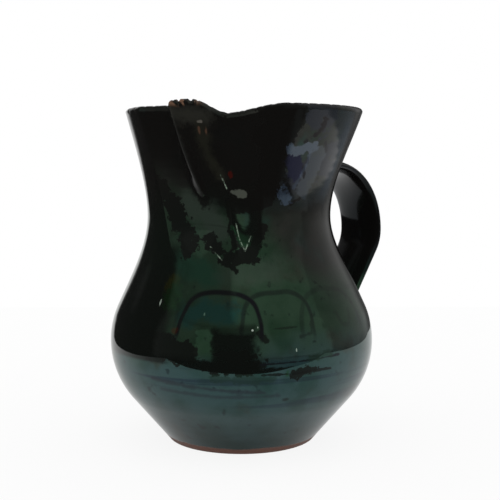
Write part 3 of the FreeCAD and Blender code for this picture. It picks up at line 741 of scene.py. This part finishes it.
# Brush-drawn arches that cross each other round the shoulder: the clear ones in front, each with
# the angle of its middle, its half width and its strength, then fainter ones all the way round
ARCH_FOOT = 0.078
ARCH_RISE = 0.0252
ARCH_POWER = 3.1
SHAKE_ANGLE = 5.0
SHAKE_HEIGHT = 0.006
UNSEEN_FIRST = 91.0
UNSEEN_WIDTH = 18.0
UNSEEN_STRENGTH = 0.40
SPACING = 360 / 7
unseen = most(tree, fade(tree, angle, 80.0, 90.0), fade(tree, angle, -34.0, -44.0))
shaky = swing(tree, where, 25.0, 2.0)
risen = reckon(tree, "SUBTRACT", height, ARCH_FOOT)
risen = reckon(tree, "MULTIPLY_ADD", shaky, SHAKE_HEIGHT, risen)
risen = most(tree, reckon(tree, "DIVIDE", risen, ARCH_RISE), 0.0)
risen = reckon(tree, "POWER", risen, ARCH_POWER)
lines = []
for middle, half_width, strength in (
    (15.4, 17.4, 1.0),
    (40.3, 15.9, 0.62),
    (69.0, 18.5, 0.36),
    (-19.0, 15.0, 0.30),
    (UNSEEN_FIRST, UNSEEN_WIDTH, None),
    (UNSEEN_FIRST + SPACING / 2, UNSEEN_WIDTH, None),
):
    beside = reckon(tree, "SUBTRACT", angle, middle)
    beside = reckon(tree, "MULTIPLY_ADD", shaky, SHAKE_ANGLE, beside)
    if strength is None:
        beside = reckon(tree, "WRAP", beside, -SPACING / 2, SPACING / 2)
        strength = times(tree, unseen, UNSEEN_STRENGTH)
    share = reckon(tree, "ABSOLUTE", reckon(tree, "DIVIDE", beside, half_width))
    total = reckon(tree, "ADD", reckon(tree, "POWER", share, ARCH_POWER), risen)
    off = reckon(tree, "SUBTRACT", reckon(tree, "POWER", total, 1 / ARCH_POWER), 1.0)
    line = fade(tree, reckon(tree, "ABSOLUTE", off), 0.080, 0.025)
    lines.append(times(tree, line, strength))
arches = times(tree, most(tree, *lines), fade(tree, height, 0.074, 0.081))
hook = streak([(55.5, 0.086), (54.5, 0.0800), (50.0, 0.0785)], 0.0010, 0.0006)
far_hook = streak([(80.0, 0.090), (77.0, 0.0815), (72.0, 0.0825), (70.5, 0.0900)], 0.0009, 0.0006)
hooks = reckon(tree, "MULTIPLY_ADD", hook, 0.55, times(tree, far_hook, 0.30))
dry_brush = fade(tree, mottle(tree, where, 60.0, 4.0), 0.30, 0.52)
brushed = reckon(tree, "MULTIPLY_ADD", dry_brush, 0.35, 0.65)
arches = times(tree, most(tree, arches, hooks), brushed)
tone = blend_colours(tree, arches, tone, MANGANESE)

# The foot is wiped clean of glaze and shows the red clay; so do the worn and chipped edges
bare = fade(tree, reckon(tree, "MULTIPLY_ADD", fine, 0.0030, height), 0.0068, 0.0050)
body = blend_colours(tree, bare, body, CLAY)
edge = fade(tree, reckon(tree, "MULTIPLY_ADD", fine, 0.004, height), 0.2130, 0.2160)
lip_side = times(tree, fade(tree, angle, -18.0, -10.0), fade(tree, angle, 8.0, 0.0))
left_side = times(tree, fade(tree, angle, -34.0, -48.0), 0.6)
chips = fade(tree, mottle(tree, where, 210.0, 3.0), 0.50, 0.56)
worn = times(tree, edge, chips, most(tree, lip_side, left_side))
body = blend_colours(tree, worn, body, RUST)
bare = most(tree, bare, worn)
tone = blend_colours(tree, bare, tone, (0.3, 0.3, 0.3))

# Painted shade: the glaze's tint is darker near the foot, where it mirrors the shadowed table, and
# on the strap; it is also browner on the far left
tone = darken(fade(tree, cloudy_height, 0.044, 0.010), tone, (0.25, 0.42, 0.42))
far_left = times(
    tree,
    fade(tree, angle, -34.0, -52.0),
    fade(tree, angle, -90.0, -72.0),
    fade(tree, height, 0.125, 0.105),
)
tone = darken(far_left, tone, (1.0, 0.72, 0.52))
flat = add(tree, "ShaderNodeVectorMath", {0: where, 1: (1, 1, 0)}, operation="MULTIPLY")
reach = add(tree, "ShaderNodeVectorMath", {0: flat.outputs[0]}, operation="LENGTH")
on_strap = times(
    tree,
    fade(tree, reach.outputs["Value"], 0.063, 0.073),
    fade(tree, angle, 118.0, 130.0),
    fade(tree, height, 0.092, 0.104),
    fade(tree, height, 0.198, 0.186),
)
tone = darken(on_strap, tone, (0.22, 0.28, 0.38))
shine = reckon(tree, "MULTIPLY_ADD", thin_glaze, 0.07, 0.035)
shine = reckon(tree, "MULTIPLY_ADD", bare, 0.5, shine)
tree.links.new(body, shader.inputs["Base Color"])
tree.links.new(shine, shader.inputs["Roughness"])
tree.links.new(tone, shader.inputs["Specular Tint"])
shader.inputs["IOR"].default_value = 1.7
jug.data.materials.clear()
jug.data.materials.append(glaze)


# Table and light: a plain, matt, pale table top that ends a little way round the jug, under soft
# white light and before a white backdrop. The glaze mirrors the table and the room round it.
TABLE_NEAR = 0.20
TABLE_FAR = 0.60
TABLE_LEFT = 0.36
TABLE_RIGHT = 0.55
GLOW_IN_GLAZE = 0.46
GLOW_TO_CAMERA = 0.88
turn = math.radians(CAMERA_TURN)
near = np.array([math.sin(turn), -math.cos(turn)])
right = np.array([math.cos(turn), math.sin(turn)])
corners = [
    near * TABLE_NEAR - right * TABLE_LEFT,
    near * TABLE_NEAR + right * TABLE_RIGHT,
    -near * TABLE_FAR + right * TABLE_RIGHT,
    -near * TABLE_FAR - right * TABLE_LEFT,
]
table_mesh = bpy.data.meshes.new("table")
table_mesh.from_pydata([(x, y, 0) for x, y in corners], [], [(0, 1, 2, 3)])
table = bpy.data.objects.new("table", table_mesh)
scene.collection.objects.link(table)
pale = bpy.data.materials.new("pale_table")
pale.use_nodes = True
tree = pale.node_tree
tree.nodes.clear()
path = add(tree, "ShaderNodeLightPath")
matt = add(tree, "ShaderNodeBsdfDiffuse", {"Color": (0.90, 0.90, 0.90, 1)})
white = add(tree, "ShaderNodeEmission", {"Color": (1, 1, 1, 1), "Strength": 1.0})
share = times(tree, path.outputs["Is Glossy Ray"], GLOW_IN_GLAZE)
share = reckon(tree, "MULTIPLY_ADD", path.outputs["Is Camera Ray"], GLOW_TO_CAMERA, share)
mixed = add(tree, "ShaderNodeMixShader", {0: share, 1: matt.outputs[0], 2: white.outputs[0]})
add(tree, "ShaderNodeOutputMaterial", {"Surface": mixed.outputs[0]})
table_mesh.materials.append(pale)

# The room is plain white to the camera and in soft light. The glaze mirrors a dim room with
# panels of light: bearings turn from the camera's side to the right, lifts count up from level
LEAST_GLOW = 0.02
world = bpy.data.worlds.new("room")
scene.world = world
world.use_nodes = True
tree = world.node_tree
tree.nodes.clear()
path = add(tree, "ShaderNodeLightPath")
way = add(tree, "ShaderNodeTexCoord").outputs["Generated"]
forward = add(tree, "ShaderNodeVectorMath", {0: way, 1: (*near, 0)}, operation="DOT_PRODUCT")
sideways = add(tree, "ShaderNodeVectorMath", {0: way, 1: (*right, 0)}, operation="DOT_PRODUCT")
bearing = reckon(tree, "ARCTAN2", sideways.outputs["Value"], forward.outputs["Value"])
bearing = times(tree, bearing, 180 / math.pi)
lift = reckon(tree, "ARCSINE", add(tree, "ShaderNodeSeparateXYZ", {0: way}).outputs[2])
lift = times(tree, lift, 180 / math.pi)

# The edges of the panels ripple and wobble, as they do on hand-made glaze
ripple = swing(tree, way, 2.5, 3.0)
bearing = reckon(tree, "MULTIPLY_ADD", ripple, 14.0, bearing)
lift = reckon(tree, "MULTIPLY_ADD", ripple, -9.0, lift)
wobble = swing(tree, way, 11.0, 4.0)
bearing = reckon(tree, "MULTIPLY_ADD", wobble, 9.0, bearing)
lift = reckon(tree, "MULTIPLY_ADD", wobble, 6.0, lift)


def panel(bearings, lifts, soft, strength):
    """Light from one soft-edged panel of the room, between these bearings and lifts."""
    (left, right), (bottom, top) = bearings, lifts
    across = times(
        tree,
        fade(tree, bearing, left - soft, left + soft),
        fade(tree, bearing, right + soft, right - soft),
    )
    upward = times(
        tree,
        fade(tree, lift, bottom - soft, bottom + soft),
        fade(tree, lift, top + soft, top - soft),
    )
    return times(tree, times(tree, across, upward), strength)


# Windows, walls and ceiling of the room that the glaze mirrors, and a patchy glow low on the right
lights = [
    panel((12, 85), (-9, 95), 5, 0.57),
    panel((70, 150), (-9, 95), 12, 0.40),
    panel((90, 150), (-60, -9), 5, 0.36),
    panel((15, 95), (-20, -8), 1.5, 0.48),
    panel((-42, -26), (-9, 27), 2, 0.67),
    panel((-80, -26), (-9, 33), 5, 0.33),
    panel((-80, 12), (29, 95), 7, 0.32),
    panel((-100, -60), (33, 95), 6, 0.16),
    panel((-20, 10), (24, 36), 3, 0.20),
    panel((-85, -50), (42, 70), 6, 0.49),
    panel((-176, -150), (-95, 95), 4, 1.0),
    panel((150, 174), (-95, 95), 6, 0.10),
    panel((-12, 95), (36, 95), 9, 0.70),
    panel((-150, -118), (14, 70), 6, 0.15),
]
patches = fade(tree, mottle(tree, way, 9.0, 5.0), 0.50, 0.56)
lights.append(times(tree, patches, panel((50, 96), (-36, -10), 5, 0.60)))
glow = most(tree, reckon(tree, "ADD", LEAST_GLOW, lights[0]), *lights[1:])
daylight = blend_colours(tree, fade(tree, lift, -7, -14), (1.0, 1.0, 1.0), (0.76, 0.89, 1.0))
plain = add(tree, "ShaderNodeBackground", {"Color": (1, 1, 1, 1), "Strength": 1.0})
shiny = add(tree, "ShaderNodeBackground", {"Color": daylight, "Strength": glow})
first = add(
    tree,
    "ShaderNodeMixShader",
    {0: path.outputs["Is Glossy Ray"], 1: plain.outputs[0], 2: shiny.outputs[0]},
)
second = add(
    tree,
    "ShaderNodeMixShader",
    {0: path.outputs["Is Camera Ray"], 1: first.outputs[0], 2: plain.outputs[0]},
)
add(tree, "ShaderNodeOutputWorld", {"Surface": second.outputs[0]})

scene.view_settings.view_transform = "Standard"
